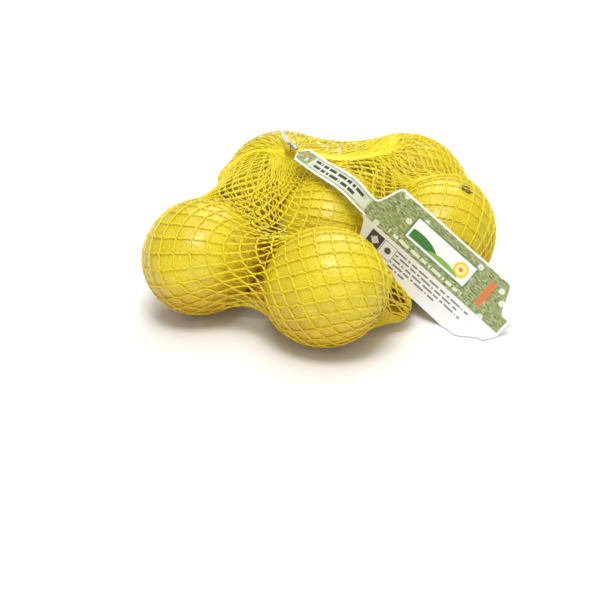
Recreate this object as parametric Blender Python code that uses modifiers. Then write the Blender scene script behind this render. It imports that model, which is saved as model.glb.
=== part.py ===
"""A net of lemons: six fruit in a knitted net that is gathered into a metal clip
on top and drawn together at its other end, with a folded hang label whose thin
neck goes into the clip.

Sizes are in millimetres below and become metres through MM. The bag lies on the
XY plane, +Z up. The net with its fruit is one closed solid, since the net is shut.
"""
import math

import bmesh
import bpy
import numpy as np
from mathutils import Matrix, Vector

MM = 0.001
MIDDLE = (2.4, 56.3, 0)      # of the whole, on the ground; it becomes the origin

# ---------------------------------------------------------------- the fruit
# Each lemon: centre x, y, z, the heading and rise in degrees of the axis that
# ends in its nipple, half its width and the nipple's height as a share of that.
LEMONS = {
    "left": (-61.5, 30, 30.3, 64, -2, 29.0, 0.26),
    "front": (2, -7, 31.2, 139, -25, 29.5, 0.26),
    "middle": (7, 69, 29.6, 238, -10, 28.5, 0.26),
    "back_left": (-19, 121, 30.2, 207, 16, 28.8, 0.26),
    "back_right": (46.5, 116, 30.4, 176, 0, 29.3, 0.08),
    "right": (62.5, 52, 31.2, 240, -42, 28.5, 0.04),
}
LENGTH_TO_WIDTH = 1.14
NIPPLE_SPREAD = 0.26         # radians
STEM_SHOULDER = (0.07, 0.30)  # height as a share of the half width, and spread

# ---------------------------------------------------------------- the net
NET_STANDOFF = 1.2           # strands lie this far outside the peel
# Taut net spans the room between two lemons. Half way it has sunk in by this share
# of the first one's half width on each side.
SPANS = (("left", "back_left", 0.08), ("back_left", "back_right", 0.04),
         ("back_right", "right", 0.12), ("left", "front", 0.30),
         ("middle", "left", 0.20), ("middle", "front", 0.60), ("middle", "right", 0.50),
         ("middle", "back_left", 0.08), ("middle", "back_right", 0.08),
         ("left", "back_right", 0.22))
SPAN_BALLS = 9
# Slack net below the label, between the front lemon and the right one, as balls.
FILLERS = (((28, 22, -8), 24), ((38, 10, 2), 14))
SKIN_CELL = 5.4              # size of the skin's facets
SMOOTH_ROUNDS = 30
# The net's slack: a knot in the clip and a loose pocket at the far end, as balls.
KNOT = ((-16.6, 99.8, 57.0), 5.5)
TAIL_POCKET = (((22.0, 3.0, 28.0), 15.5), ((31.0, 5.0, 20.0), 11.5), ((37.0, 8.0, 14.0), 9.5),
              ((43.0, 12.0, 12.0), 5.5), ((42.0, 11.0, 6.0), 5.5), ((35.0, 4.0, 5.0), 5.0))

# ---------------------------------------------------------------- the label
LABEL_THICKNESS = 0.45
LABEL_ROWS = 54              # along the crease
LABEL_COLUMNS = 5            # across each half
GROUND_GAP = 0.7             # from the ground to the middle of the label's thickness
# The crease runs from the neck's tip over the middle lemon and down to the ground:
# x, y, z of a point on it, then the lean of the upper and of the lower half in
# degrees. A half that leans 0 is level and reaches back, 90 stands up, -90 hangs.
CREASE = (
    (-15.3, 86.6, 61.9, 18, -60),
    (-4.2, 65.5, 62.2, 22, -60),
    (10.3, 47.5, 59.4, 38, -70),
    (21.1, 36.1, 52.6, 66, -84),
    (55.8, 16.9, 27.2, 73, -90),
    (76.0, 5.8, 12.3, 69, -96),
    (90.4, -2.2, 1.6, 66, -124),
)
NECK_LENGTH = 66.0
NECK_WIDTH, PANEL_WIDTH, FOOT_WIDTH = 10.5, 24.5, 9.5    # of the upper half
LOWER_WIDTH = 18.0           # of the lower half's panel
TIP_LENGTH, TIP_BLUNTNESS = 5.5, 0.35    # of the rounded end; its least width is a share
SHOULDER_LENGTH = 8.0        # in which the neck widens to the panel
FOOT_LENGTH = 4.0            # straight, at the far end
LOWER_CURL = -14             # degrees by which the lower half curls on to its edge

# ---------------------------------------------------------------- clip and strip
CLIP_MIDDLE = (-14.2, 94.6, 64.6)
CLIP_DIRECTION = (6.8, -13.0, -0.8)    # along the sleeve
CLIP_LENGTH, CLIP_WIDTH, CLIP_HEIGHT = 8.0, 3.4, 2.6
CRIMP = 0.72                 # the clip's width where it is pinched
# The label's thin end comes out of the clip and lies crumpled on the back lemon.
STRIP_PATH = ((-17.0, 99.6, 65.0), (-18.6, 105.5, 65.4), (-20.6, 112.5, 65.2))
STRIP_WIDTH, STRIP_THICKNESS = 3.0, 0.9
STRIP_TWIST = 50             # degrees, from one end to the other
STRIP_ROWS = 12

MATERIALS = {
    "net_bag": ((0.93, 0.74, 0.06), 0.55, 0.0),
    "label": ((0.33, 0.52, 0.18), 0.40, 0.0),
    "label_strip": ((0.85, 0.85, 0.86), 0.40, 0.0),
    "clip": ((0.80, 0.80, 0.82), 0.30, 1.0),
}


def clear_scene():
    for thing in list(bpy.data.objects):
        bpy.data.objects.remove(thing, do_unlink=True)


def own_collection(name):
    collection = bpy.data.collections.new(name)
    bpy.context.scene.collection.children.link(collection)
    return collection


def finish_object(name, form, collection):
    """Turn a bmesh in millimetres into an object with its material, shaded smooth."""
    bmesh.ops.translate(form, vec=-Vector(MIDDLE), verts=form.verts)
    bmesh.ops.scale(form, vec=(MM, MM, MM), verts=form.verts)
    mesh = bpy.data.meshes.new(name)
    form.to_mesh(mesh)
    form.free()
    colour, roughness, metallic = MATERIALS[name]
    material = bpy.data.materials.new(name)
    material.use_nodes = True
    shader = material.node_tree.nodes["Principled BSDF"]
    shader.inputs["Base Color"].default_value = (*colour, 1)
    shader.inputs["Roughness"].default_value = roughness
    shader.inputs["Metallic"].default_value = metallic
    mesh.materials.append(material)
    mesh.shade_smooth()
    thing = bpy.data.objects.new(name, mesh)
    collection.objects.link(thing)
    return thing


# ---------------------------------------------------------------- net with its fruit

def heading(azimuth, rise):
    """Unit vector for an angle in the XY plane and a rise above it, in degrees."""
    a, r = math.radians(azimuth), math.radians(rise)
    return np.array((math.cos(a) * math.cos(r), math.sin(a) * math.cos(r), math.sin(r)))


def lemon_radius(angle, half_width, nipple_height):
    """Distance from a lemon's centre to its peel, at an angle from its nipple."""
    half_length = LENGTH_TO_WIDTH * half_width
    body = 1 / np.sqrt((np.cos(angle) / half_length) ** 2 + (np.sin(angle) / half_width) ** 2)
    nipple = nipple_height * half_width * np.exp(-(angle / NIPPLE_SPREAD) ** 2)
    shoulder = STEM_SHOULDER[0] * half_width * np.exp(-((math.pi - angle) / STEM_SHOULDER[1]) ** 2)
    return body + nipple + shoulder


def push_from(points, centres, wanted):
    """Move each point that is nearer its centre than the wanted distance out to it."""
    offset = points - centres
    distance = np.linalg.norm(offset, axis=1) + 1e-9
    points += offset * np.maximum(0, wanted / distance - 1)[:, None]


def push_out(points):
    """Keep the net outside the fruit, its own slack and the ground."""
    for x, y, z, azimuth, rise, radius, nipple_height in LEMONS.values():
        centre = np.array((x, y, z))
        offset = points - centre
        distance = np.linalg.norm(offset, axis=1) + 1e-9
        angle = np.arccos(np.clip(offset @ heading(azimuth, rise) / distance, -1, 1))
        wanted = lemon_radius(angle, radius, nipple_height) + NET_STANDOFF
        push_from(points, centre, wanted)
    for centre, radius in (KNOT, *TAIL_POCKET):
        push_from(points, np.array(centre), radius)
    points[:, 2] = np.maximum(points[:, 2], 0)


def make_loose_skin():
    """One even skin round the lemons and the balls that fill the room between them."""
    form = bmesh.new()
    balls = [(lemon[:3], lemon[5]) for lemon in LEMONS.values()]
    for first, second, sink in SPANS:
        for step in range(1, SPAN_BALLS):
            along = step / SPAN_BALLS
            centre = Vector(LEMONS[first][:3]).lerp(Vector(LEMONS[second][:3]), along)
            balls.append((centre, LEMONS[first][5] * (1 - 4 * sink * along * (1 - along))))
    for centre, radius in (*balls, *FILLERS, KNOT, *TAIL_POCKET):
        bmesh.ops.create_icosphere(form, subdivisions=4, radius=radius,
                                   matrix=Matrix.Translation(centre))
    mesh = bpy.data.meshes.new("loose_skin")
    form.to_mesh(mesh)
    form.free()
    thing = bpy.data.objects.new("loose_skin", mesh)
    bpy.context.scene.collection.objects.link(thing)
    remesh = thing.modifiers.new("even", "REMESH")
    remesh.mode = "VOXEL"
    remesh.voxel_size = SKIN_CELL
    evaluated = thing.evaluated_get(bpy.context.evaluated_depsgraph_get())
    form = bmesh.new()
    form.from_mesh(bpy.data.meshes.new_from_object(evaluated))
    bpy.data.objects.remove(thing, do_unlink=True)
    return form


def make_net_bag(collection):
    """A skin round the whole group, evened out and kept outside the fruit."""
    form = make_loose_skin()
    points = np.array([vert.co for vert in form.verts])
    ends = np.array([[vert.index for vert in edge.verts] for edge in form.edges])
    count = np.bincount(ends.ravel(), minlength=len(points))[:, None]
    for _ in range(SMOOTH_ROUNDS):
        total = np.zeros_like(points)
        np.add.at(total, ends[:, 0], points[ends[:, 1]])
        np.add.at(total, ends[:, 1], points[ends[:, 0]])
        points = 0.4 * points + 0.6 * total / count
        push_out(points)
    for vert, place in zip(form.verts, points):
        vert.co = place
    bmesh.ops.recalc_face_normals(form, faces=form.faces)
    return finish_object("net_bag", form, collection)


# ---------------------------------------------------------------- paths

def reaches(path):
    """Distance from a path's start to each of its points."""
    lengths = [0.0]
    for a, b in zip(path, path[1:]):
        lengths.append(lengths[-1] + math.dist(a[:3], b[:3]))
    return lengths


def spline(path, distance):
    """Value and slope of a smooth curve through a path's rows, at a distance along it."""
    steps = reaches(path)
    rows = [np.array(row, dtype=float) for row in path]
    distance = min(max(distance, 0.0), steps[-1])
    i = max(k for k in range(len(rows) - 1) if steps[k] <= distance)
    span = steps[i + 1] - steps[i]
    t = (distance - steps[i]) / span

    def slope(k):
        low, high = max(k - 1, 0), min(k + 1, len(rows) - 1)
        return (rows[high] - rows[low]) / (steps[high] - steps[low]) * span

    a, b, slope_a, slope_b = rows[i], rows[i + 1], slope(i), slope(i + 1)
    value = ((2 * t**3 - 3 * t**2 + 1) * a + (t**3 - 2 * t**2 + t) * slope_a
             + (3 * t**2 - 2 * t**3) * b + (t**3 - t**2) * slope_b)
    rate = ((6 * t**2 - 6 * t) * a + (3 * t**2 - 4 * t + 1) * slope_a
            + (6 * t - 6 * t**2) * b + (3 * t**2 - 2 * t) * slope_b)
    return value, rate


def smooth_step(value, low, high):
    t = min(max((value - low) / (high - low), 0.0), 1.0)
    return t * t * (3 - 2 * t)


# ---------------------------------------------------------------- label

def half_width(distance, is_upper):
    """Width of one half of the label, at a distance along the crease from the tip."""
    length = reaches(CREASE)[-1]
    width, panel = (NECK_WIDTH, PANEL_WIDTH) if is_upper else (1.0, LOWER_WIDTH)
    width += (panel - width) * smooth_step(distance, NECK_LENGTH, NECK_LENGTH + SHOULDER_LENGTH)
    foot_start = length - FOOT_LENGTH
    return width + (FOOT_WIDTH - width) * smooth_step(distance, foot_start - SHOULDER_LENGTH, foot_start)


def tip_inset(distance):
    """How far the rounded tip is cut back from each edge of the neck."""
    share = 1 - min(distance / TIP_LENGTH, 1.0)
    return NECK_WIDTH / 2 * (1 - max(math.sqrt(1 - share * share), TIP_BLUNTNESS))


def label_point(distance, across):
    """Place on the label: across is 1 on the upper edge, 0 on the crease, -1 below."""
    value, rate = spline(CREASE, distance)
    along = Vector(rate[:3]).normalized()
    level = Vector((-along.y, along.x, 0)).normalized()
    upward = along.cross(level)
    place = Vector(value[:3])
    is_upper = across > 0
    inset = tip_inset(distance)
    reach = inset + (half_width(distance, is_upper) - 2 * inset) * abs(across)
    steps = 12
    for step in range(steps):
        reached = (step + 0.5) / steps * abs(across)
        lean = value[3] if is_upper else value[4] + LOWER_CURL * reached
        lean = math.radians(lean)
        side = level * math.cos(lean) + upward * math.sin(lean)
        move = side * (reach / steps)
        if place.z + move.z < GROUND_GAP:
            flat = Vector((move.x, move.y, 0))
            drop = GROUND_GAP - place.z
            flat.length = math.sqrt(max(move.length_squared - drop * drop, 0.0))
            move = flat + Vector((0, 0, drop))
        place += move
    return place


def make_label(collection):
    """A grid bent over the crease; the neck keeps only its upper half, folded double."""
    length = reaches(CREASE)[-1]
    form = bmesh.new()
    bmesh.ops.create_grid(form, x_segments=LABEL_ROWS, y_segments=2 * LABEL_COLUMNS, size=1)
    neck_lower = [
        face for face in form.faces
        if face.calc_center_median().y < 0
        and (face.calc_center_median().x + 1) / 2 * length < NECK_LENGTH
    ]
    bmesh.ops.delete(form, geom=neck_lower, context="FACES")
    for vert in form.verts:
        vert.co = label_point((vert.co.x + 1) / 2 * length, vert.co.y)
    label = finish_object("label", form, collection)
    wall = label.modifiers.new("paper", "SOLIDIFY")
    wall.thickness = LABEL_THICKNESS * MM
    wall.offset = 0
    wall.use_even_offset = True
    return label


# ---------------------------------------------------------------- clip and strip

def make_clip(collection):
    """A short metal sleeve, pinched in the middle, along the label's neck."""
    form = bmesh.new()
    bmesh.ops.create_cube(form, size=1)
    bmesh.ops.scale(form, vec=(CLIP_LENGTH, CLIP_WIDTH, CLIP_HEIGHT), verts=form.verts)
    bmesh.ops.bevel(form, geom=form.edges[:], offset=0.28 * CLIP_HEIGHT, segments=3,
                    affect="EDGES", profile=0.5)
    long_edges = [edge for edge in form.edges
                  if abs(edge.verts[0].co.x - edge.verts[1].co.x) > 0.5 * CLIP_LENGTH]
    bmesh.ops.subdivide_edges(form, edges=long_edges, cuts=7)
    for vert in form.verts:
        pinch = math.cos(math.pi * min(abs(vert.co.x) / (0.5 * CLIP_LENGTH), 1)) / 2 + 0.5
        vert.co.y *= 1 - (1 - CRIMP) * pinch
        vert.co.z *= 1 - 0.5 * (1 - CRIMP) * pinch
    turn = Vector(CLIP_DIRECTION).to_track_quat("X", "Z").to_matrix().to_4x4()
    bmesh.ops.transform(form, matrix=Matrix.Translation(CLIP_MIDDLE) @ turn, verts=form.verts)
    return finish_object("clip", form, collection)


def make_strip(collection):
    """The narrow, crumpled end of the label past the clip."""
    length = reaches(STRIP_PATH)[-1]
    form = bmesh.new()
    bmesh.ops.create_grid(form, x_segments=STRIP_ROWS, y_segments=3, size=1)
    for vert in form.verts:
        share = (vert.co.x + 1) / 2
        value, rate = spline(STRIP_PATH, share * length)
        along = Vector(rate).normalized()
        level = Vector((-along.y, along.x, 0)).normalized()
        lean = math.radians(STRIP_TWIST * share)
        side = level * math.cos(lean) + along.cross(level) * math.sin(lean)
        crumple = 1 - 0.35 * share
        vert.co = Vector(value) + side * (vert.co.y * STRIP_WIDTH / 2 * crumple)
    strip = finish_object("label_strip", form, collection)
    wall = strip.modifiers.new("film", "SOLIDIFY")
    wall.thickness = STRIP_THICKNESS * MM
    wall.offset = 0
    wall.use_even_offset = True
    return strip


def main():
    clear_scene()
    collection = own_collection("net_of_lemons")
    make_net_bag(collection)
    make_label(collection)
    make_clip(collection)
    make_strip(collection)


main()
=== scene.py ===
# %% [markdown]
# # A net of lemons
#
# Six lemons lie in one layer in a knitted net. The net's mouth and the thin neck
# of a folded hang label are crimped into one metal clip, and the net's other end
# is drawn together low down beside the front lemon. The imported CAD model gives
# each place and size. Its solid for net and fruit is plain, so the fruit and the
# net are made here one by one, and stand for it.

# %% Load the frame
import math
from collections import namedtuple

import bmesh
import bpy
import numpy as np
from mathutils import Matrix, Vector
from mathutils.bvhtree import BVHTree


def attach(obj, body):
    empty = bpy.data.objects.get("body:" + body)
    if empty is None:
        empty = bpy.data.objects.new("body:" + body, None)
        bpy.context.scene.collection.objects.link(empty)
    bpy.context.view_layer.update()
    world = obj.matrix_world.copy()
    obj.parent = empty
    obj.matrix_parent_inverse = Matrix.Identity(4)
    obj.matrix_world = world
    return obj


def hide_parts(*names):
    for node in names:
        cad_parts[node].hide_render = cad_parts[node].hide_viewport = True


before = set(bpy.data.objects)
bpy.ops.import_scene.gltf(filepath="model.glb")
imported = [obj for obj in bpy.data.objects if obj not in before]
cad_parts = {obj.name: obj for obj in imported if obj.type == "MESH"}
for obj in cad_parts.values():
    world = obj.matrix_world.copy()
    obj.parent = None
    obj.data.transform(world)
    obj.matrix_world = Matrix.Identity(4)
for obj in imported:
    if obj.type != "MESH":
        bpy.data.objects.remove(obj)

bpy.ops.object.select_all(action="DESELECT")
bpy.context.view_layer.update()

# %% [markdown]
# ## Where things are
#
# The places are in millimetres and the same as in the CAD. They are measured from
# a corner of the layout, and MIDDLE is the place there of the frame's origin, on
# the ground under the middle of everything. Each lemon has a centre, the heading
# and rise of the axis that ends in its nipple, half its width, its nipple's height
# as a share of that, and the heading and rise of its stem. A lemon isn't quite
# straight, so the stem is seldom just opposite the nipple.

# %% Places and sizes
MM = 0.001
TINY = 1e-9                  # keeps a length that is divided by above 0
MIDDLE = np.array((2.4, 56.3, 0.0))
Lemon = namedtuple("Lemon", "x y z azimuth rise half_width nipple stem_azimuth stem_rise")
LEMONS = {
    "left": Lemon(-61.5, 30, 30.3, 64, -2, 29.0, 0.26, 244, -62),
    "front": Lemon(2, -7, 31.2, 139, -25, 29.5, 0.26, 300, -66),
    "middle": Lemon(7, 69, 29.6, 238, -10, 28.5, 0.26, 58, 10),
    "back_left": Lemon(-19, 121, 30.2, 207, 16, 28.8, 0.26, 27, -16),
    "back_right": Lemon(46.5, 116, 30.4, 176, 0, 29.3, 0.08, 356, 0),
    "right": Lemon(62.5, 52, 31.2, 240, -42, 28.5, 0.04, 2, 64),
}
LENGTH_TO_WIDTH = 1.14       # of the body, without its two ends
NIPPLE_SPREAD = 0.26         # radians
SHOULDER_HEIGHT, SHOULDER_SPREAD = 0.07, 0.30    # share of the half width, radians


def centre_of(lemon):
    return np.array((lemon.x, lemon.y, lemon.z)) - MIDDLE


print(len(LEMONS), "lemons, the front one", 2 * LEMONS["front"].half_width, "mm wide")

# %% [markdown]
# ## Light, floor and camera
#
# A pale floor and soft boxes, as in a product studio. The key light, high in
# front, puts a sheen on the upper side of each lemon. A broad one above and one
# behind light the tops and the far side, and two weak ones, low in front and on
# the left, open the shadows. The camera has a long lens and looks down at a little
# under thirty degrees.

# %% Stage
FLOOR_WIDTH = 8
LIT_PLACE = (0, 0, 0.03)
# Place and size in metres, and power in watts.
LIGHTS = {
    "key_light": ((-0.05, -0.45, 1.15), (0.50, 0.38), 7.8),
    "back_light": ((0.2, 0.95, 0.85), (0.9, 0.5), 5.5),
    "top_light": ((0.0, 0.1, 1.3), (1.1, 1.1), 6.4),
    "side_light": ((-1.1, 0.0, 0.6), (0.7, 0.7), 0.3),
    "front_light": ((0.35, -1.3, 0.35), (0.9, 0.6), 3.3),
}
SKY_STRENGTH = 0.36
ELEVATION = math.radians(27)
DISTANCE = 1.2
AIM = Vector((-0.0129, -0.0164, 0))
LENS, SENSOR = 136.8, 36

bpy.ops.mesh.primitive_plane_add(size=FLOOR_WIDTH, location=(0, 0, 0))
floor = bpy.context.object
floor.name = "floor"
for name, (place, size, power) in LIGHTS.items():
    turn = (Vector(LIT_PLACE) - Vector(place)).to_track_quat("-Z", "Y").to_euler()
    bpy.ops.object.light_add(type="AREA", location=place, rotation=turn)
    light = bpy.context.object
    light.name = name
    light.data.shape = "RECTANGLE"
    light.data.size, light.data.size_y = size
    light.data.energy = power

world = bpy.data.worlds.new("studio")
bpy.context.scene.world = world
world.use_nodes = True
world.node_tree.nodes["Background"].inputs["Color"].default_value = (1, 1, 1, 1)
world.node_tree.nodes["Background"].inputs["Strength"].default_value = SKY_STRENGTH

view = Vector((0, -math.cos(ELEVATION), math.sin(ELEVATION)))
bpy.ops.object.camera_add(location=AIM + DISTANCE * view,
                          rotation=(math.pi / 2 - ELEVATION, 0, 0))
camera = bpy.context.object
camera.data.lens = LENS
camera.data.sensor_width = SENSOR
bpy.context.scene.camera = camera
bpy.context.scene.view_settings.view_transform = "Standard"
bpy.ops.object.select_all(action="DESELECT")
print("camera at", [round(x, 3) for x in camera.location])

# %% [markdown]
# ## Writing materials as sums
#
# A pattern is made of many small nodes, and wiring each by hand hides what it
# does. This class holds one output socket. Adding or multiplying two of them adds
# the Math node, so a mask reads like the formula that it is.

# %% A socket that can be reckoned with
class Wire:
    """One output socket of the material that is being made."""

    tree = None

    def __init__(self, socket):
        self.socket = socket

    @classmethod
    def node(cls, kind, inputs=None, output=0, **settings):
        """Add a node with its settings and inputs, and give one of its outputs."""
        made = cls.tree.nodes.new("ShaderNode" + kind)
        for name, setting in settings.items():
            setattr(made, name, setting)
        for name, value in (inputs or {}).items():
            cls.plug(made.inputs[name], value)
        return cls(made.outputs[output])

    @classmethod
    def plug(cls, socket, value):
        if isinstance(value, Wire):
            cls.tree.links.new(value.socket, socket)
        elif isinstance(value, tuple) and len(value) == 3 and socket.type == "RGBA":
            socket.default_value = (*value, 1)
        else:
            socket.default_value = value

    def math(self, operation, *others):
        values = dict(enumerate((self, *others)))
        return Wire.node("Math", values, operation=operation)

    def __add__(self, other): return self.math("ADD", other)
    def __sub__(self, other): return self.math("SUBTRACT", other)
    def __mul__(self, other): return self.math("MULTIPLY", other)
    def __truediv__(self, other): return self.math("DIVIDE", other)
    def __abs__(self): return self.math("ABSOLUTE")
    __radd__, __rmul__ = __add__, __mul__

    def __rsub__(self, other):
        return Wire.node("Math", {0: other, 1: self}, operation="SUBTRACT")

    def both(self, other): return self.math("MINIMUM", other)
    def either(self, other): return self.math("MAXIMUM", other)

    def step(self, low, high):
        """0 below low and 1 above high, smooth between them."""
        limits = {"Value": self, "From Min": low, "From Max": high}
        return Wire.node("MapRange", limits, interpolation_type="SMOOTHSTEP")


def blend_colours(amount, first, second):
    """Second colour over the first one, by a mask from 0 to 1."""
    return Wire.node("Mix", {0: amount, 6: first, 7: second}, output=2, data_type="RGBA")


def start_material(name):
    """A new material whose nodes the next lines add. Gives its main shader."""
    material = bpy.data.materials.new(name)
    material.use_nodes = True
    Wire.tree = material.node_tree
    return material, material.node_tree.nodes["Principled BSDF"]


def place_on_piece():
    return Wire.node("TexCoord", output="Object")


def axis_of(vector, axis):
    """One of a vector's three numbers."""
    return Wire.node("SeparateXYZ", {"Vector": vector}, axis)


def stretched(place, scale, turn=0):
    mapping = {"Vector": place, "Scale": scale, "Rotation": (0, 0, turn)}
    return Wire.node("Mapping", mapping)


def noise(place, scale, detail=2, roughness=0.5):
    pattern = {"Vector": place, "Scale": scale, "Detail": detail, "Roughness": roughness}
    return Wire.node("TexNoise", pattern)


def bump(height, distance, strength=1.0, under=None):
    inputs = {"Height": height, "Distance": distance, "Strength": strength}
    if under is not None:
        inputs["Normal"] = under
    return Wire.node("Bump", inputs)


def set_shader(shader, **values):
    """Set the main shader's sockets, named with _ for a space."""
    for name, value in values.items():
        Wire.plug(shader.inputs[name.replace("_", " ")], value)


print("material helpers are ready")

# %% [markdown]
# ## The floor
#
# A sheet of white board. It is nearly white, not quite, so that the light can
# still round it off.

# %% Floor material
material, shader = start_material("white_board")
grain = noise(place_on_piece(), 40)
set_shader(shader, Base_Color=blend_colours(grain, (0.89, 0.89, 0.89), (0.91, 0.91, 0.91)),
           Roughness=0.7)
floor.data.materials.append(material)
print("floor material:", material.name)

# %% [markdown]
# ## The lemons
#
# A lemon is a short egg with a nipple at one end and a low shoulder round the stem
# at the other. A sphere with its poles on the lemon's axis has its rings in the
# right places for both, so each point of a sphere is simply moved in or out to the
# peel's distance. A slow noise pushes it a little further, because no lemon is
# quite round.

# %% Shape of a lemon
PEEL_DEPTH = 0.15            # of the peel under its formula, so that no bump meets the net
WOBBLE = 0.12
LOWEST = 0.3                 # of a lemon's underside above the ground


def heading(azimuth, rise):
    """Unit vector for an angle in the ground plane and a rise above it, in degrees."""
    a, r = math.radians(azimuth), math.radians(rise)
    return np.array((math.cos(a) * math.cos(r), math.sin(a) * math.cos(r), math.sin(r)))


def lemon_radius(angle, half_width, nipple_height):
    """Distance from a lemon's centre to its peel, at an angle from its nipple."""
    half_length = LENGTH_TO_WIDTH * half_width
    body = 1 / np.sqrt((np.cos(angle) / half_length) ** 2 + (np.sin(angle) / half_width) ** 2)
    nipple = nipple_height * half_width * np.exp(-(angle / NIPPLE_SPREAD) ** 2)
    from_stem = (math.pi - angle) / SHOULDER_SPREAD
    shoulder = SHOULDER_HEIGHT * half_width * np.exp(-from_stem ** 2)
    return body + nipple + shoulder


def get_points(mesh):
    points = np.zeros(len(mesh.vertices) * 3)
    mesh.vertices.foreach_get("co", points)
    return points.reshape(-1, 3)


def set_points(mesh, points):
    mesh.vertices.foreach_set("co", np.asarray(points, dtype=np.float32).ravel())
    mesh.update()


def select_only(piece):
    bpy.ops.object.select_all(action="DESELECT")
    bpy.context.view_layer.objects.active = piece
    piece.select_set(True)


def finish_piece(piece, name, material, slot, *nodes):
    """Name a finished piece, put its place in its mesh, and hand it to the frame."""
    select_only(piece)
    bpy.ops.object.transform_apply(location=True, rotation=True, scale=True)
    piece.name = name
    piece.data.name = name
    piece.data.materials.clear()
    piece.data.materials.append(material)
    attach(piece, "root")
    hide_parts(*nodes)
    piece.select_set(False)
    return piece


def turned_up_to(direction):
    """Matrix that turns the upward direction to another one."""
    return np.array(Vector((0, 0, 1)).rotation_difference(Vector(direction)).to_matrix())


def make_lemon(name, seed):
    row = LEMONS[name]
    bpy.ops.mesh.primitive_uv_sphere_add(segments=72, ring_count=60, radius=1)
    lemon = bpy.context.object
    mesh = lemon.data
    points = get_points(mesh)
    angle = np.arccos(np.clip(points[:, 2], -1, 1))
    wobble = np.array([math.sin(2.1 * p[0] + seed) * math.cos(1.7 * p[1] - 2 * seed)
                       + math.sin(2.9 * p[2] + 3 * seed) * 0.5 for p in points])
    radius = lemon_radius(angle, row.half_width, row.nipple) - PEEL_DEPTH + WOBBLE * wobble
    turn = turned_up_to(heading(row.azimuth, row.rise))
    places = (points * radius[:, None]) @ turn.T + centre_of(row)
    places[:, 2] = np.maximum(places[:, 2], LOWEST)
    set_points(mesh, places * MM)
    bpy.ops.object.shade_smooth()
    return lemon


# %% [markdown]
# ## Lemon peel
#
# Peel is waxy: a clear yellow with slow patches of a paler and a deeper one. Low
# down its colour is painted darker and warmer: painted shade, for the fruit's own
# yellow shade there. It has thousands of oil glands. Each gland is a small round
# dimple, a little darker than the skin between. The dimples come from a cell
# pattern, squeezed so that only the middle of each cell sinks in. Light goes a
# little way into peel, so the shader has a touch of subsurface scattering.

# %% Peel material
GLANDS, SLOW, PATCHES = 620, 38, 110         # scales of the three patterns, per metre
UPPER_PEEL = (0.68, 0.53, 0.010), (0.76, 0.635, 0.018)
# Painted shade: darker, warmer colours that the peel gets low down.
PAINTED_SHADE_PEEL = (0.56, 0.315, 0.006), (0.64, 0.39, 0.010)
PALE_PEEL, GLAND_COLOUR = (0.82, 0.71, 0.05), (0.54, 0.37, 0.005)


def make_peel():
    material, shader = start_material("peel_yellow")
    place = place_on_piece()
    cell = Wire.node("TexVoronoi", {"Vector": place, "Scale": GLANDS, "Randomness": 0.9})
    gland = 1 - cell.step(0.05, 0.50)
    slow = noise(place, SLOW, 3)
    patch = noise(place, PATCHES, 2)
    upper = blend_colours(slow.step(0.35, 0.7), *UPPER_PEEL)
    lower = blend_colours(slow.step(0.35, 0.7), *PAINTED_SHADE_PEEL)
    # Painted shade: from 52 mm down to 10 mm above the ground the peel turns to the darker,
    # warmer lower colours.
    base = blend_colours((axis_of(place, 2) + 0.012 * slow).step(0.010, 0.052), lower, upper)
    base = blend_colours(patch.step(0.45, 0.8) * 0.35, base, PALE_PEEL)
    base = blend_colours(gland * 0.22, base, GLAND_COLOUR)
    rough = 0.29 + 0.12 * slow
    dimples = bump(1 - gland, 0.00030, 0.8)
    lumps = bump(patch, 0.0005, 0.3, under=dimples)
    set_shader(shader, Base_Color=base, Roughness=rough, Normal=lumps,
               Subsurface_Weight=0.12, Subsurface_Scale=0.004, Coat_Weight=0.22,
               Coat_Roughness=0.18, Specular_IOR_Level=0.42)
    shader.inputs["Subsurface Radius"].default_value = (1.0, 0.6, 0.1)
    return material


peel = make_peel()
lemons = []
for seed, name in enumerate(LEMONS):
    lemon = make_lemon(name, seed)
    lemons.append(finish_piece(lemon, "lemon_" + name, peel, "net_bag", "net_bag"))
print(len(lemons), "lemons with", len(lemons[0].data.polygons), "faces each")

# %% [markdown]
# ## Stem ends
#
# Where the fruit was cut off the tree it keeps a woody button in a small star of
# dried sepals. A sphere gives a closed skin to start from: its upper half becomes
# the button and the star, and its lower half a flat underside that sinks into the
# peel.

# %% Stem ends
BUTTON, STAR, STAR_LOBES = 1.7, 4.2, 5       # radii in mm
BUTTON_SHARE = 0.4                           # of the way from the middle to the rim
BUTTON_HEIGHT, STAR_HEIGHT, UNDERSIDE = 0.95, 0.35, -0.9
RAGGED = 0.12
STEM_CURVE = 62                              # twice the radius of the peel below
STEM_DEPTH = 0.25


def off_the_peel(points, lemon):
    """Offset and distance of points from a lemon's centre, and its radius there."""
    offset = points - centre_of(lemon)
    distance = np.linalg.norm(offset, axis=1) + TINY
    cosine = np.clip(offset @ heading(lemon.azimuth, lemon.rise) / distance, -1, 1)
    return offset, distance, lemon_radius(np.arccos(cosine), lemon.half_width, lemon.nipple)


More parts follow.
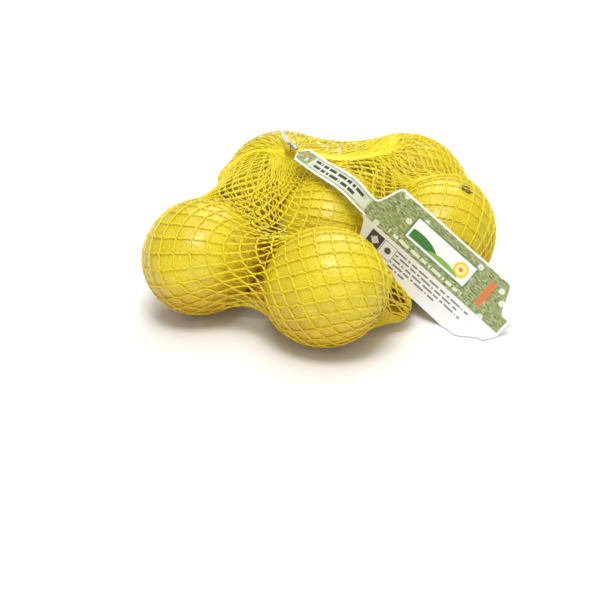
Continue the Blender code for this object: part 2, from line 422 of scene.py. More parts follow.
def make_stem(lemon):
    bpy.ops.mesh.primitive_uv_sphere_add(segments=60, ring_count=24, radius=1)
    stem = bpy.context.object
    ball = get_points(stem.data)
    share = np.arccos(np.clip(np.abs(ball[:, 2]), 0, 1)) / (math.pi / 2)
    around = np.arctan2(ball[:, 1], ball[:, 0])
    in_button = share < BUTTON_SHARE
    spread = 0.72 + 0.28 * np.abs(np.cos(STAR_LOBES / 2 * around)) ** 0.7
    out = (share - BUTTON_SHARE) / (1 - BUTTON_SHARE)
    radius = np.where(in_button, BUTTON * share / BUTTON_SHARE,
                      BUTTON + (STAR * spread - BUTTON) * out)
    ragged = RAGGED * np.sin(7 * around + 9 * share)
    height = np.where(in_button, BUTTON_HEIGHT + ragged,
                      STAR_HEIGHT + 0.25 * (1 - share) + ragged * share)
    height = np.where(ball[:, 2] < 0, UNDERSIDE, height) - radius ** 2 / STEM_CURVE
    flat = np.c_[radius * np.cos(around), radius * np.sin(around), height]
    way = heading(lemon.stem_azimuth, lemon.stem_rise)
    turn = turned_up_to(way)
    centre = centre_of(lemon)[None]
    _, _, peel_radius = off_the_peel(centre + way, lemon)
    lifted = way * (peel_radius[0] - STEM_DEPTH)
    set_points(stem.data, (flat @ turn.T + centre + lifted) * MM)
    bpy.ops.object.shade_smooth_by_angle(angle=math.radians(45))
    return stem


material, shader = start_material("dry_stem")
bark = noise(place_on_piece(), 900, 4)
brown = blend_colours(bark.step(0.35, 0.65), (0.075, 0.036, 0.010), (0.26, 0.15, 0.04))
set_shader(shader, Base_Color=brown, Roughness=0.75, Normal=bump(bark, 0.0004, 0.9))
for name, lemon in LEMONS.items():
    finish_piece(make_stem(lemon), "stem_" + name, material, "net_bag", "net_bag")
print(len(LEMONS), "stem ends,", 2 * STAR, "mm across")

# %% [markdown]
# ## How the net lies
#
# The net is a knitted tube of square meshes. Nobody can place its knots by hand,
# so they are found as the real net finds them. The knots start on a wide ball
# round the group, with one ring gathered at the clip and one at the tail. Then
# they are pulled in over and over: no leg between two knots may be longer than
# the yarn, and no knot may enter a lemon or the ground. The skin of the CAD solid
# keeps the net off the label, and a leg that still goes through the label's
# hanging half is moved down, to pass below it. Balls in the room between two
# lemons hold the net up where it is taut, and the knots of a row push each other
# apart, so that the columns don't all slide into one fold.

# %% Relax the net
LEG = 7.5                    # from knot to knot
PEEL_GAP = 0.52              # from the peel to the middle of a strand
CLIP_END = np.array((-15.9, 98.4, 61.6)) - MIDDLE
TAIL_END = np.array((44.5, 14.0, 8.5)) - MIDDLE
CLIP_RING, TAIL_RING = 1.8, 3.5              # radii of the two gathered ends
START_SIZE = np.array((118, 118, 62))        # half sizes of the ball that knots start on
END_TILT = 0.03              # of the way round that ball, left open at each end
TWIST = 1.8                  # radians by which the net is turned at the tail
CROWDING = 0.32              # how far the columns crowd on the far side
FAR_SIDE = np.array((0.7, 0.7, 0.3))
LEAST_GAP, GATHERED_ROWS = 4.4, 10           # between knots of a row, and where not
ROUNDS = 450
LEG_ROUNDS = 4               # of shortening the legs, in each round
SOFTENING = (0.25, 0.06)     # share of the way to its neighbours that a knot moves
# Between two lemons the taut net sinks in by a share of the lemon's half width.
SPANS = (("left", "back_left", 0.08), ("back_left", "back_right", -0.10),
         ("back_right", "right", 0.06), ("middle", "back_right", 0.03),
         ("left", "back_right", 0.26))
SLACK_SPANS = (("left", "back_left", 0.14), ("back_left", "back_right", -0.02),
               ("back_right", "right", 0.12), ("middle", "back_right", 0.09))
SADDLE_SPANS = (("left", "back_left", 0.11), ("back_left", "back_right", -0.06),
                ("middle", "back_right", 0.06))
SPAN_BALLS = 9
MESHES = 25                  # from the clip to the tail
# Balls, middle and radius, that hold the loose pocket beside the front lemon open.
TAIL_POCKET = (((22.0, 3.0, 28.0), 15.5), ((31.0, 5.0, 20.0), 11.5), ((37.0, 8.0, 14.0), 9.5))
FLAP_MIDDLE = np.array((50.0, 22.0, 24.0)) - MIDDLE
FLAP_HALF = np.array((28.0, 24.0, 26.0))


def skin_of(node):
    """A tree of a CAD node's faces, in millimetres, to ask for the nearest one."""
    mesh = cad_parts[node].data
    mesh.calc_loop_triangles()
    return BVHTree.FromPolygons((get_points(mesh) / MM).tolist(),
                                [tuple(t.vertices) for t in mesh.loop_triangles])


def span_balls(spans):
    """Balls in the room between two lemons, for the taut net to lie on."""
    balls = []
    for first, second, sink in spans:
        ends = [centre_of(LEMONS[name]) for name in (first, second)]
        for step in range(1, SPAN_BALLS):
            along = step / SPAN_BALLS
            radius = LEMONS[first].half_width * (1 - 4 * sink * along * (1 - along))
            balls.append(((1 - along) * ends[0] + along * ends[1], radius))
    if spans is SPANS:
        balls += [(np.array(centre) - MIDDLE, radius) for centre, radius in TAIL_POCKET]
    return balls


def push_off_balls(points, balls):
    for centre, radius in balls:
        offset = points - centre
        distance = np.linalg.norm(offset, axis=1) + TINY
        points += offset * np.maximum(0, radius / distance - 1)[:, None]


def push_off_fruit(points, gap):
    """Move points out of the lemons and the ground."""
    for lemon in LEMONS.values():
        offset, distance, radius = off_the_peel(points, lemon)
        points += offset * np.maximum(0, (radius + gap) / distance - 1)[:, None]
    points[:, 2] = np.maximum(points[:, 2], gap)


def keep_inside(points, skin, depth):
    """Move points that stick out of the skin back under it."""
    for index, point in enumerate(points):
        place, normal, _, _ = skin.find_nearest(point)
        if (Vector(point) - place).dot(normal) > -depth:
            points[index] = place - normal * depth


def push_under(points, legs, sheet):
    """Move the ends of legs that pass through the hanging half of the label down."""
    middle = (points[legs[:, 0]] + points[legs[:, 1]]) / 2
    near = (np.abs(middle - FLAP_MIDDLE) < FLAP_HALF).all(axis=1)
    for ends in legs[near]:
        way = Vector(points[ends[1]] - points[ends[0]])
        if sheet.ray_cast(Vector(points[ends[0]]), way, way.length)[0] is not None:
            points[ends, 2] -= 1.0


def spread_columns(grid):
    """Keep knots of one row apart, less so near the two gathered ends."""
    rows = len(grid)
    row = np.arange(rows)
    open_share = np.clip(np.minimum(row, rows - 1 - row) / GATHERED_ROWS, 0, 1)
    gap = np.roll(grid, -1, axis=1) - grid
    length = np.linalg.norm(gap, axis=2) + TINY
    push = 0.25 * np.maximum(0, LEAST_GAP * open_share[:, None] / length - 1)[..., None] * gap
    grid += np.roll(push, 1, axis=1) - push


def lattice(columns, rows, phase):
    """Start places of the knots, row by row from the clip, and the legs between them."""
    turn = turned_up_to(CLIP_END - TAIL_END)
    centre = np.mean([lemon[:3] for lemon in LEMONS.values()], axis=0) - MIDDLE
    back = FAR_SIDE @ turn
    near_side = math.atan2(back[1], back[0]) + math.pi
    points, legs = [], []
    for row in range(rows):
        tilt = math.pi * (END_TILT + (1 - 2 * END_TILT) * row / (rows - 1))
        for column in range(columns):
            turned = 2 * math.pi * (column + 0.5 * (row % 2) + phase) / columns
            turned += CROWDING * math.sin(turned - near_side) + TWIST * (row / rows) ** 2
            points.append((math.sin(tilt) * math.cos(turned),
                           math.sin(tilt) * math.sin(turned), math.cos(tilt)))
            if row < rows - 1:
                beside = column + (1 if row % 2 else -1)
                here = row * columns + column
                below = (row + 1) * columns + beside % columns
                legs += (here, here + columns), (here, below)
    ball = np.array(points) @ turn.T * START_SIZE + centre
    round_end = np.array(points[:columns]) @ turn.T
    round_end -= round_end.mean(axis=0)
    round_end /= np.linalg.norm(round_end, axis=1)[:, None]
    return ball, np.array(legs), round_end


def shared_move(points, legs, pull):
    """What each knot gets of a pull along the legs that meet in it."""
    move = np.zeros_like(points)
    np.add.at(move, legs[:, 0], pull)
    np.add.at(move, legs[:, 1], -pull)
    return move


def relax_net(columns, spans, depth, fall, phase):
    """Pull a net in round the fruit. Gives its knots as rows from the clip."""
    rows = 2 * MESHES + 1
    points, legs, round_end = lattice(columns, rows, phase)
    skin, sheet = skin_of("net_bag"), skin_of("label")
    balls = span_balls(spans)
    first, last = slice(0, columns), slice(len(points) - columns, len(points))
    count = np.bincount(legs.ravel(), minlength=len(points))[:, None]
    for turn in range(ROUNDS):
        part = turn / ROUNDS
        held = min(1.0, 3 * part)
        points[:, 2] -= fall
        for _ in range(LEG_ROUNDS):
            gap = points[legs[:, 1]] - points[legs[:, 0]]
            length = np.linalg.norm(gap, axis=1) + TINY
            pull = 0.6 * np.maximum(0, 1 - LEG / length)[:, None] * gap
            points += shared_move(points, legs, pull) * 2 / count
            points[first] += (CLIP_END + CLIP_RING * round_end - points[first]) * held
            points[last] += (TAIL_END + TAIL_RING * round_end - points[last]) * held
        gap = points[legs[:, 1]] - points[legs[:, 0]]
        softening = SOFTENING[0] * (1 - part) + SOFTENING[1]
        points += softening * shared_move(points, legs, gap) / count
        spread_columns(points.reshape(rows, columns, 3))
        push_off_balls(points, balls)
        push_off_fruit(points, PEEL_GAP)
        if turn % 4 == 0 or turn > ROUNDS - 8:
            if part > 0.35:
                push_under(points, legs, sheet)
            keep_inside(points, skin, depth)
            push_off_fruit(points, PEEL_GAP)
    return points.reshape(rows, columns, 3)


outer_net = relax_net(60, SPANS, depth=0.5, fall=0.02, phase=0)
leg_lengths = np.linalg.norm(np.diff(outer_net, axis=0), axis=2)
print("legs in mm, shortest, middle, longest:", np.percentile(leg_lengths, (0, 50, 100)).round(1))

# %% [markdown]
# ## The strands
#
# Each mesh is bounded by strands that run from the clip to the tail in a zigzag.
# Two neighbours meet at every knot and run side by side for a moment, which
# rounds the corners of the meshes. A strand is two threads twisted round each
# other. So each strand gets a smooth path through its knots, and two threads turn
# round that path. The threads are curves with a round bevel, made a mesh at the
# end, a few dozen strands to a piece.

# %% Strands
SIDE_STEP = 0.5              # from a knot's middle to each of its two strands
LEG_POINTS = 6
CORNER_REACH = 0.75          # how far a strand keeps its direction past a knot, in legs
THREAD, TWIST_RADIUS, TWIST_LENGTH = 0.24, 0.31, 7.5
PHASE_STEP = 1.7             # radians of twist from one strand to the next
STRAND_PIECES = 4


def unit(vectors):
    return vectors / (np.linalg.norm(vectors, axis=-1, keepdims=True) + TINY)


def strand_paths(grid):
    """The path of each zigzag strand, with the direction out of the net along it."""
    rows, columns = grid.shape[:2]
    side = unit(np.roll(grid, -1, axis=1) - np.roll(grid, 1, axis=1))
    along = np.zeros_like(grid)
    for row in range(rows):
        mates = []
        for beside in (max(row - 1, 0), min(row + 1, rows - 1)):
            shift = 0 if beside == row else 1 - 2 * (row % 2)
            mates.append((grid[beside] + np.roll(grid[beside], shift, axis=0)) / 2)
        along[row] = unit(mates[1] - mates[0])
    paths = []
    row = np.arange(rows)
    odd = row % 2
    for column in range(columns):
        for hand in (1, -1):
            index = (column - odd * (hand < 0)) % columns
            step = (SIDE_STEP * hand * (1 - 2 * odd))[:, None]
            spots = grid[row, index] + step * side[row, index]
            paths.append(smooth_path(spots, along[row, index], side[row, index]))
    return paths


def curve_at(t, a, b, slope_a, slope_b):
    """Place on the smooth curve from a to b that has these slopes at its ends."""
    return ((2 * t**3 - 3 * t**2 + 1) * a + (t**3 - 2 * t**2 + t) * slope_a
            + (3 * t**2 - 2 * t**3) * b + (t**3 - t**2) * slope_b)


def smooth_path(spots, ways, sides):
    """Points on a curve through the spots, and the outward direction at each."""
    points, outward = [], []
    for a, b, way_a, way_b, side_a, side_b in zip(
            spots, spots[1:], ways, ways[1:], sides, sides[1:]):
        reach = CORNER_REACH * np.linalg.norm(b - a)
        for step in range(LEG_POINTS):
            t = step / LEG_POINTS
            points.append(curve_at(t, a, b, reach * way_a, reach * way_b))
            outward.append(np.cross((1 - t) * side_a + t * side_b, (1 - t) * way_a + t * way_b))
    return np.array(points), unit(np.array(outward))


def twisted_threads(path, outward, phase):
    """Two lines of points that turn round a path."""
    push_off_fruit(path, PEEL_GAP)
    steps = np.linalg.norm(np.diff(path, axis=0, prepend=path[:1]), axis=1)
    turned = 2 * math.pi * np.cumsum(steps) / TWIST_LENGTH + phase
    tangent = unit(np.gradient(path, axis=0))
    across = unit(np.cross(tangent, outward))
    up = np.cross(across, tangent)
    lines = []
    for half_turn in (0, math.pi):
        angle = (turned + half_turn)[:, None]
        lines.append(path + TWIST_RADIUS * (np.cos(angle) * across + np.sin(angle) * up))
    return lines


def make_threads(name, lines, radius, sides_level):
    """One mesh object of round threads along lines of points, in millimetres."""
    curve = bpy.data.curves.new(name, "CURVE")
    curve.dimensions = "3D"
    curve.bevel_depth = radius * MM
    curve.bevel_resolution = sides_level
    curve.use_fill_caps = True
    for line in lines:
        spline = curve.splines.new("POLY")
        spline.points.add(len(line) - 1)
        spline.points.foreach_set("co", np.c_[line * MM, np.ones(len(line))].ravel())
    piece = bpy.data.objects.new(name, curve)
    bpy.context.scene.collection.objects.link(piece)
    select_only(piece)
    bpy.ops.object.convert(target="MESH")
    bpy.ops.object.shade_smooth()
    return bpy.context.object


# %% [markdown]
# ## Net yarn
#
# The yarn is a bright, warm yellow with a soft shine. Its colour is stronger than
# the peel's, so the strands stand out on it. Like the peel, it is painted deeper
# low down, as painted shade. A fine noise along each thread gives the uneven gloss
# of fibres.

# %% Net material
# The low colour is painted shade, for the yarn near the ground; the high colour is the yarn
# higher up.
def make_yarn(name, low, high, rough):
    material, shader = start_material(name)
    place = place_on_piece()
    slow = noise(place, 90, 2)
    fine = noise(place, 1500, 2)
    # Painted shade: three quarters of the mix goes by height, to the low colour near the ground;
    # a quarter is random variation.
    shade_and_tone = axis_of(place, 2).step(0.0, 0.045) * 0.75 + slow.step(0.3, 0.7) * 0.25
    set_shader(shader, Base_Color=blend_colours(shade_and_tone, low, high),
               Roughness=rough + 0.15 * fine, Normal=bump(fine, 0.0001, 0.4),
               Coat_Weight=0.15, Coat_Roughness=0.3)
    return material


yarn = make_yarn("net_yarn", (0.82, 0.56, 0.006), (0.93, 0.80, 0.014), 0.30)
paths = strand_paths(outer_net)
lines = []
for number, (path, outward) in enumerate(paths):
    lines += twisted_threads(path, outward, PHASE_STEP * number)
net_pieces = []
share = len(lines) // STRAND_PIECES
for number in range(STRAND_PIECES):
    piece = make_threads("net", lines[number * share:(number + 1) * share], THREAD, 0)
    net_pieces.append(finish_piece(piece, f"net_{number + 1}", yarn, "net_bag", "net_bag"))
print("net faces:", [len(piece.data.polygons) for piece in net_pieces])

# %% [markdown]
# ## Slack net in the hollows
#
# The tube is wider than the fruit needs, so folds of it have slipped into the
# hollows. Each fold is a net relaxed in the same way but lying deeper, and is kept
# only where it doesn't lie on a lemon. Two of them lie on balls of their own, just
# under the taut net, and make it look nearly solid between the back lemons. The
# third is heavy and deep, in a darker, browner yarn that is painted shade, and
# hides the ground in the middle.

# %% Slack net
# Columns, depth, fall, phase and spans of each fold.
SLACK_NETS = ((66, 2.2, 0.05, 0.5, SLACK_SPANS), (70, 1.3, 0.05, 0.2, SADDLE_SPANS),
              (62, 4.0, 0.5, 0.5, ()))
SLACK_THREAD = 0.36
SLACK_GAP = 0.6              # share of the taut net's gap to the peel
OFF_PEEL = 1.3               # times that gap: from here a strand is off the peel
NEAR_SPAN = 2.0              # from the balls under a fold, in mm


def in_the_hollows(path, balls):
    """The runs of a path that lie on no lemon, but on a span's balls if it has them."""
    clear = np.min([distance - radius for _, distance, radius in
                    (off_the_peel(path, lemon) for lemon in LEMONS.values())], axis=0)
    loose = clear > OFF_PEEL * PEEL_GAP
    if balls:
        off_span = np.min([np.linalg.norm(path - centre, axis=1) - radius
                           for centre, radius in balls], axis=0)
        loose &= off_span < NEAR_SPAN
    turns = np.flatnonzero(np.diff(np.concatenate(([0], loose, [0]))))
    return [path[max(start - 2, 0):end + 2] for start, end in turns.reshape(-1, 2)
            if end - start > LEG_POINTS]


# A darker, browner copy of the yarn: painted shade for the net deep in the hollows and for the
# tuft.
painted_shade_yarn = make_yarn("net_yarn_painted_shade", (0.50, 0.26, 0.006), (0.74, 0.50, 0.010), 0.40)
for number, (columns, depth, fall, phase, spans) in enumerate(SLACK_NETS):
    slack = relax_net(columns, spans, depth, fall, phase)
    balls, runs = span_balls(spans), []
    for path, _ in strand_paths(slack):
        push_off_fruit(path, SLACK_GAP * PEEL_GAP)
        runs += in_the_hollows(path, balls)
    piece = make_threads("net", runs, SLACK_THREAD, 0)
    # The fold without spans gets the painted-shade yarn.
    shade_and_tone = yarn if spans else painted_shade_yarn
    finish_piece(piece, f"net_slack_{number + 1}", shade_and_tone, "net_bag", "net_bag")
    print(piece.name, "has", len(runs), "runs and", len(piece.data.polygons), "faces")

# %% [markdown]
# ## The label's shape
#
# The label is one strip of coated paper. Its neck is folded double and thin. The
# wide panel is folded lengthwise: the printed half stands up and leans back on the
# right lemon, and the other half hangs down behind the front one and curls. The
# crease is a curve with a lean for each half. From each place on the crease, short
# steps lead outwards, each turned a little, until the half's width is reached or
# the paper meets the ground. The distances along and across, and the distance to
# the nearest edge, stay with each point, since the print needs them. Each row of
# the crease is a place, and the lean of the upper and the lower half in degrees.

# %% Label's shape
CREASE = (
    (-15.3, 86.6, 61.9, 18, -60),
    (-4.2, 65.5, 62.2, 22, -60),
    (10.3, 47.5, 59.4, 38, -70),
    (21.1, 36.1, 52.6, 66, -84),
    (55.8, 16.9, 27.2, 73, -90),
    (76.0, 5.8, 12.3, 69, -96),
    (90.4, -2.2, 1.6, 66, -124),
)
NECK_LENGTH = 66.0
NECK_WIDTH, PANEL_WIDTH, FOOT_WIDTH = 10.5, 24.5, 9.5
LOWER_WIDTH, LOWER_STUB = 18.0, 1.0          # of the panel, and beside the neck
TIP_LENGTH, TIP_BLUNTNESS, SHOULDER_LENGTH, FOOT_LENGTH = 5.5, 0.35, 8.0, 4.0
LOWER_CURL = -14             # degrees more lean at the lower edge
GROUND_GAP = 0.7
PAPER = 0.30
LEAN_STEPS = 12


def reaches(path):
    """Distance from a path's start to each of its points."""
    lengths = [0.0]
    for a, b in zip(path, path[1:]):
        lengths.append(lengths[-1] + math.dist(a[:3], b[:3]))
    return lengths


def spline_at(path, distance):
    """Value and slope of a smooth curve through a path's rows, at a distance along it."""
    steps = reaches(path)
    rows = [np.array(row, dtype=float) for row in path]
    distance = min(max(distance, 0.0), steps[-1])
    i = max(k for k in range(len(rows) - 1) if steps[k] <= distance)
    span = steps[i + 1] - steps[i]
    t = (distance - steps[i]) / span

    def slope(k):
        low, high = max(k - 1, 0), min(k + 1, len(rows) - 1)
        return (rows[high] - rows[low]) / (steps[high] - steps[low]) * span

    a, b, slope_a, slope_b = rows[i], rows[i + 1], slope(i), slope(i + 1)
    value = curve_at(t, a, b, slope_a, slope_b)
    rate = ((6 * t**2 - 6 * t) * a + (3 * t**2 - 4 * t + 1) * slope_a
            + (6 * t - 6 * t**2) * b + (3 * t**2 - 2 * t) * slope_b)
    return value, rate


def smooth_step(value, low, high):
    t = min(max((value - low) / (high - low), 0.0), 1.0)
    return t * t * (3 - 2 * t)


LABEL_LENGTH = reaches(CREASE)[-1]


def half_width(distance, is_upper):
    """Width of one half of the label, at a distance along the crease from the tip."""
    width, panel = (NECK_WIDTH, PANEL_WIDTH) if is_upper else (LOWER_STUB, LOWER_WIDTH)
    width += (panel - width) * smooth_step(distance, NECK_LENGTH, NECK_LENGTH + SHOULDER_LENGTH)
    foot_start = LABEL_LENGTH - FOOT_LENGTH
    into_foot = smooth_step(distance, foot_start - SHOULDER_LENGTH, foot_start)
    return width + (FOOT_WIDTH - width) * into_foot


def tip_inset(distance):
    """How far the rounded tip is cut back from each edge of the neck."""
    share = 1 - min(distance / TIP_LENGTH, 1.0)
    return NECK_WIDTH / 2 * (1 - max(math.sqrt(1 - share * share), TIP_BLUNTNESS))


def reach_across(distance, across):
    """Flat distance from the crease, where across is 1 on the upper edge and -1 below."""
    inset = tip_inset(distance)
    return inset + (half_width(distance, across > 0) - 2 * inset) * abs(across)


def label_point(distance, across):
    """Place on the label: across is 1 on the upper edge, 0 on the crease, -1 below."""
    value, rate = spline_at(CREASE, distance)
    along = Vector(rate[:3]).normalized()
    level = Vector((-along.y, along.x, 0)).normalized()
    upward = along.cross(level)
    place = Vector(value[:3])
    is_upper = across > 0
    reach = reach_across(distance, across)
    for step in range(LEAN_STEPS):
        reached = (step + 0.5) / LEAN_STEPS * abs(across)
        lean = value[3] if is_upper else value[4] + LOWER_CURL * reached
        lean = math.radians(lean)
        side = level * math.cos(lean) + upward * math.sin(lean)
        move = side * (reach / LEAN_STEPS)
        if place.z + move.z < GROUND_GAP:
            flat = Vector((move.x, move.y, 0))
            drop = GROUND_GAP - place.z
            flat.length = math.sqrt(max(move.length_squared - drop * drop, 0.0))
            move = flat + Vector((0, 0, drop))
        place += move
    return place


def make_label(rows, columns):
    """The bent sheet, with its flat layout in the UV map Print, in millimetres."""
    bpy.ops.mesh.primitive_grid_add(x_subdivisions=rows, y_subdivisions=2 * columns, size=2)
    label = bpy.context.object
    mesh = label.data
    flat = get_points(mesh)
    along = (flat[:, 0] + 1) / 2 * LABEL_LENGTH
    points = np.array([label_point(s, t) for s, t in zip(along, flat[:, 1])])
    across = np.array([math.copysign(reach_across(s, t), t) for s, t in zip(along, flat[:, 1])])
    outline = [(s, reach_across(s, 1)) for s in np.linspace(0, LABEL_LENGTH, 400)]
    outline += [(s, -reach_across(s, -1)) for s in np.linspace(NECK_LENGTH, LABEL_LENGTH, 200)]
    outline += [(s, tip_inset(s)) for s in np.linspace(0, NECK_LENGTH, 200)]
    outline += [(LABEL_LENGTH, t) for t in np.linspace(-FOOT_WIDTH, FOOT_WIDTH, 40)]
    outline = np.array(outline)
    here = np.c_[along, across]
    rim = np.array([np.sqrt(((outline - p) ** 2).sum(axis=1).min()) for p in here])
    layout = mesh.uv_layers.new(name="Print")
    edge = mesh.uv_layers.new(name="Rim")
    for loop in mesh.loops:
        layout.data[loop.index].uv = here[loop.vertex_index]
        edge.data[loop.index].uv = (rim[loop.vertex_index], 0)
    set_points(mesh, (points - MIDDLE) * MM)
    form = bmesh.new()
    form.from_mesh(mesh)
    form.verts.ensure_lookup_table()
    neck = [face for face in form.faces
            if np.mean([flat[v.index][1] for v in face.verts]) < 0
            and np.mean([along[v.index] for v in face.verts]) < NECK_LENGTH]
    bmesh.ops.delete(form, geom=neck, context="FACES")
    form.to_mesh(mesh)
    form.free()
    solid = label.modifiers.new("paper", "SOLIDIFY")
    solid.thickness = PAPER * MM
    solid.offset = 0
    bpy.ops.object.modifier_apply(modifier="paper")
    bpy.ops.object.shade_smooth_by_angle(angle=math.radians(40))
    return label


label = make_label(150, 16)
print("label:", round(LABEL_LENGTH), "mm long,", len(label.data.polygons), "faces")

# %% [markdown]
# ## The label's print
#
# The paper is coated and printed right to a narrow white rim. The upper half has
# a field of grass with round seed heads, and a white plate with hills and a sun.
# The neck and the lower half are pale, with broken bars where a shop would have
# its words. The print is laid out flat, in millimetres along and across the
# label, so each shape is a formula of those two numbers, and it bends with the
# paper.

# %% Shapes of the print
WHITE, CREAM, PUFF = (0.92, 0.92, 0.93), (0.74, 0.79, 0.62), (0.86, 0.87, 0.80)
INK, GREY, BLACK = (0.045, 0.05, 0.045), (0.20, 0.20, 0.20), (0.07, 0.07, 0.07)
LEAF_GREEN, HILL_GREEN, HEART = (0.045, 0.20, 0.05), (0.22, 0.46, 0.08), (0.55, 0.60, 0.26)
ORANGE, YELLOW, PALE_YELLOW = (0.70, 0.20, 0.06), (0.88, 0.62, 0.03), (0.93, 0.80, 0.30)
PLATE, SUN, BLOCK, FRAME = (109, 12.4), (122.5, 12.4), (78.5, -7.0), (87.4, -7.0)


def box(flat, middle, half, soft=0.12):
    """A filled rectangle, given by its middle and half sizes."""
    outside = (abs(flat[0] - middle[0]) - half[0]).either(abs(flat[1] - middle[1]) - half[1])
    return 1 - outside.step(-soft, soft)


def oval(flat, middle, half, soft=0.08):
    u, v = (flat[0] - middle[0]) / half[0], (flat[1] - middle[1]) / half[1]
    return 1 - (u * u + v * v).math("SQRT").step(1 - soft, 1 + soft)


def bars(flat, start, lengths, pitch, half_height):
    """Rows of bars in place of lines of words, cut unevenly by two sets of gaps."""
    mask = None
    for number, length in enumerate(lengths):
        middle = (start[0] + length / 2, start[1] - pitch * number)
        bar = box(flat, middle, (length / 2, half_height))
        mask = bar if mask is None else mask.either(bar)
    row = (flat[1] * (1 / pitch)).math("ROUND")
    for spacing, drift, gap in ((7.3, 3.1, 0.13), (11.9, 5.3, 0.09)):
        share = ((flat[0] + row * drift) * (1 / spacing)).math("FRACT")
        mask = mask * share.step(gap, gap + 0.03)
    return mask


def grass(place):
    """Thin blades of several greens, with some straw between them."""
    blades = stretched(place, (0.35, 2.2, 1), 0.9)
    cross = stretched(place, (0.4, 1.8, 1), -0.5)
    fine = noise(blades, 1.0, 3, 0.65).either(noise(cross, 0.9, 3, 0.65))
    green = blend_colours(fine.step(0.45, 0.64), (0.075, 0.115, 0.025), (0.56, 0.60, 0.29))
    green = blend_colours(noise(place, 0.16, 3).step(0.45, 0.65) * 0.5, green, (0.27, 0.36, 0.11))
    straw = noise(place, 0.27, 4, 0.6).step(0.56, 0.72)
    return blend_colours(straw * 0.55, green, (0.54, 0.46, 0.30))


def seed_heads(place):
    """Pale round seed heads, one to a cell of an uneven grid, some left out."""
    cell = {"Vector": place, "Scale": 0.112, "Randomness": 0.8}
    middle = Wire.node("TexVoronoi", cell, 2, voronoi_dimensions="2D")
    colour = Wire.node("TexVoronoi", cell, 1, voronoi_dimensions="2D")
    chance = axis_of(colour, 0)
    offset = Wire.node("VectorMath", {0: place, 1: middle}, operation="SUBTRACT")
    u, v = [axis_of(offset, axis) for axis in (0, 1)]
    distance = (u * u + v * v).math("SQRT")
    rays = (v.math("ARCTAN2", u) * 13).math("COSINE")
    puff = (1 - (distance - 0.18 * rays).step(1.25, 1.95)) * (0.86 + 0.14 * rays)
    return puff * chance.step(0.28, 0.30), 1 - distance.step(0.35, 0.60)


# %% Label material
def paint(art, *layers):
    """Lay shapes over the art one after the other, each a mask and its colour."""
    for mask, colour in layers:
        art = blend_colours(mask, art, colour)
    return art


def make_print():
    material, shader = start_material("label_print")
    place = Wire.node("UVMap", uv_map="Print")
    flat = [axis_of(place, axis) for axis in (0, 1)]
    rim = axis_of(Wire.node("UVMap", uv_map="Rim"), 0)
    puff, heart = seed_heads(place)
    puff = puff * flat[0].step(68, 70) * (1 - box(flat, (106, 2.6), (24, 3.0)))
    inside = box(flat, PLATE, (18.4, 4.8))
    front = paint(
        grass(place),
        (puff, PUFF),
        (puff * heart, HEART),
        (box(flat, PLATE, (20.5, 6.9), 0.5) * 0.7, LEAF_GREEN),
        (box(flat, PLATE, (19.6, 6.0)), WHITE),
        (oval(flat, SUN, (4.3, 4.3)), YELLOW),
        (oval(flat, SUN, (2.9, 2.9)), PALE_YELLOW),
        (oval(flat, SUN, (1.1, 1.1), 0.3), ORANGE),
        (inside.both(oval(flat, (96, 5.0), (15, 8.0), 0.02)), LEAF_GREEN),
        (inside.both(oval(flat, (113, 4.0), (13, 6.4), 0.02)), HILL_GREEN),
        (box(flat, (140, 11.5), (1.9, 7.5)), ORANGE),
        (bars(flat, (84, 2.6), (44,), 9, 0.85), CREAM),
        (box(flat, (40.0, 5.25), (24.5, 3.4), 0.9) * 0.85, CREAM),
        (oval(flat, (6.6, 6.6), (1.3, 1.3), 0.2), ORANGE),
        (oval(flat, (10.8, 4.2), (1.1, 1.1), 0.2), (0.86, 0.80, 0.62)),
        (bars(flat, (18, 6.9), (43, 38), 3.1, 0.85), INK))

    corner = abs(flat[0] - BLOCK[0]) + abs(flat[1] - BLOCK[1])
    ring = box(flat, FRAME, (4.2, 4.6)) * (1 - box(flat, FRAME, (3.9, 4.3)))
    notes = paint(
        WHITE,
        (bars(flat, (92, -3.2), (48, 42, 46, 30, 12), 2.5, 0.5), GREY),
        (box(flat, BLOCK, (4.2, 4.6)), BLACK),
        (1 - corner.step(2.7, 2.9), (0.70, 0.70, 0.69)),
        (ring.either(oval(flat, FRAME, (1.9, 1.9))), (0.10, 0.10, 0.10)))
    art = paint(front, (1 - flat[1].step(-0.12, 0.12), notes), (1 - rim.step(0.95, 1.2), WHITE))

    paper = noise(place_on_piece(), 900, 3)
    set_shader(shader, Base_Color=art, Roughness=0.38 + 0.08 * paper,
               Normal=bump(noise(place_on_piece(), 55, 2), 0.0006, 0.35),
               Coat_Weight=0.2, Coat_Roughness=0.25)
    return material


finish_piece(label, "hang_label", make_print(), "label", "label")
print("label printed")

# %% [markdown]
# ## Clip and crumpled end
#
# The clip is a strip of soft aluminium wire, pressed round the gathered net and
# the label's neck until both are tight. What shows is a short sleeve, pinched in
# three places, with rounded edges. The net's cut end is balled up beside it. The
# label's trimmed end comes out of it, thin, silvery and crumpled.

# %% Clip
CLIP_MIDDLE = np.array((-14.2, 94.6, 64.6)) - MIDDLE
CLIP_SIZE = np.array((8.0, 3.4, 2.6))
CLIP_DIRECTION = (6.8, -13.0, -0.8)
CRIMPS, CRIMP_DEPTH, CRIMP_WIDTH = (-2.1, 0.2, 2.3), 0.20, 0.55
GROOVE_DEPTH, GROOVE_WIDTH = 0.22, 0.16      # shares of the radius, radians
FLARE, END_ROUNDNESS = 0.12, 0.35
TUFT_MIDDLE = np.array((-17.0, 94.6, 62.9)) - MIDDLE
TUFT, TUFT_LOOPS, TUFT_THREAD = 1.75, 14, 0.30
STRIP_PATH = ((-17.0, 99.6, 65.0), (-18.6, 105.5, 65.4), (-20.6, 112.5, 65.2))
STRIP_WIDTH, STRIP_PAPER = 1.15, 0.25        # to each side of its middle, and thickness


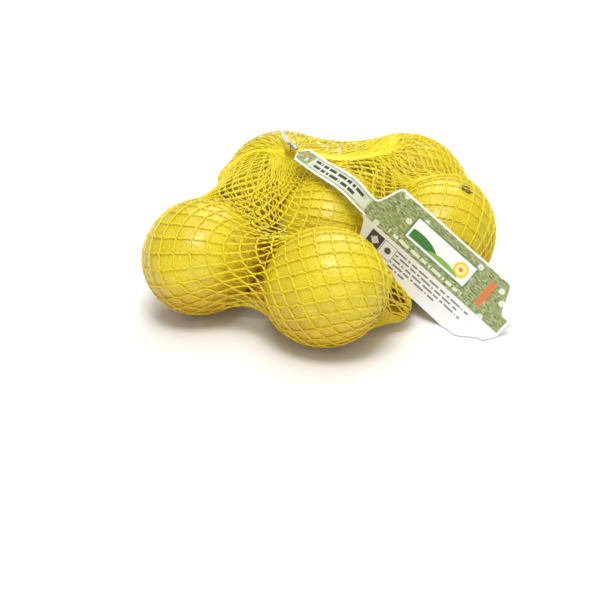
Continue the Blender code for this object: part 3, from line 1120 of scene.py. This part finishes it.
def make_clip():
    """A flattened tube with round ends, three crimps and the groove where it closes."""
    bpy.ops.mesh.primitive_uv_sphere_add(segments=48, ring_count=48, radius=1)
    clip = bpy.context.object
    ball = get_points(clip.data)
    along = ball[:, 2]
    around = np.arctan2(ball[:, 1], ball[:, 0])
    radius = np.sqrt(np.maximum(1 - along ** 2, 0)) ** END_ROUNDNESS
    x = along * CLIP_SIZE[0] / 2
    for place in CRIMPS:
        radius *= 1 - CRIMP_DEPTH * np.exp(-((x - place) / CRIMP_WIDTH) ** 2)
    groove = GROOVE_DEPTH * np.exp(-((around - math.pi / 2) / GROOVE_WIDTH) ** 2)
    flared = 1 + FLARE * along ** 4
    y = radius * flared * np.cos(around) * CLIP_SIZE[1] / 2
    z = (radius - groove) * np.sin(around) * CLIP_SIZE[2] / 2 - 0.05 * x ** 2 / 4
    turn = np.array(Vector(CLIP_DIRECTION).to_track_quat("X", "Z").to_matrix())
    set_points(clip.data, (np.c_[x, y, z] @ turn.T + CLIP_MIDDLE) * MM)
    bpy.ops.object.shade_smooth()
    return clip


def make_tuft():
    """The cut end of the net, balled up beside the clip."""
    lines = []
    for loop in range(TUFT_LOOPS):
        way = Matrix.Rotation(2.4 * loop, 3, "Z") @ Matrix.Rotation(1.1 * loop, 3, "X")
        radius = TUFT * (0.80 + 0.20 * math.sin(5 * loop))
        circle = [(radius * math.cos(a), radius * math.sin(a), 0.25 * math.sin(3 * a))
                  for a in np.linspace(0, 2 * math.pi, 25)]
        lines.append(np.array(circle) @ np.array(way).T + TUFT_MIDDLE)
    return make_threads("net", lines, TUFT_THREAD, 1)


def make_strip():
    bpy.ops.mesh.primitive_grid_add(x_subdivisions=40, y_subdivisions=8, size=2)
    strip = bpy.context.object
    flat = get_points(strip.data)
    length = reaches(STRIP_PATH)[-1]
    points = []
    for u, v, _ in flat:
        share = (u + 1) / 2
        value, rate = spline_at(STRIP_PATH, share * length)
        along = Vector(rate).normalized()
        level = Vector((-along.y, along.x, 0)).normalized()
        lean = math.radians(50 * (share - 0.5) + 10 * math.sin(9 * share))
        side = level * math.cos(lean) + along.cross(level) * math.sin(lean)
        width = STRIP_WIDTH * (1 - 0.35 * share ** 3) * (1 + 0.10 * math.sin(14 * share))
        crease = 0.45 * math.sin(3.0 * v + 8 * share) * (1 - 0.4 * share)
        points.append(Vector(value) + side * v * width + along.cross(side) * crease)
    set_points(strip.data, (np.array(points) - MIDDLE) * MM)
    solid = strip.modifiers.new("paper", "SOLIDIFY")
    solid.thickness = STRIP_PAPER * MM
    bpy.ops.object.modifier_apply(modifier="paper")
    bpy.ops.object.shade_smooth_by_angle(angle=math.radians(50))
    return strip


material, shader = start_material("soft_aluminium")
scratches = noise(stretched(place_on_piece(), (1, 6, 1)), 700, 3)
set_shader(shader, Base_Color=blend_colours(scratches, (0.42, 0.42, 0.42), (0.62, 0.62, 0.61)),
           Metallic=1.0, Roughness=0.25 + 0.2 * scratches, Normal=bump(scratches, 0.0001, 0.4))
finish_piece(make_clip(), "crimped_clip", material, "clip", "clip")
# The tuft gets the darker yarn, painted shade for the shade beside the clip.
finish_piece(make_tuft(), "net_tuft", painted_shade_yarn, "net_bag", "net_bag")

material, shader = start_material("silvery_paper")
crumple = noise(place_on_piece(), 420, 3)
set_shader(shader, Base_Color=blend_colours(crumple, (0.55, 0.55, 0.56), (0.78, 0.78, 0.78)),
           Roughness=0.30 + 0.2 * crumple, Normal=bump(crumple, 0.0005, 0.8),
           Coat_Weight=0.3, Coat_Roughness=0.15)
finish_piece(make_strip(), "label_end", material, "label_strip", "label_strip")
print("clip and label end made")
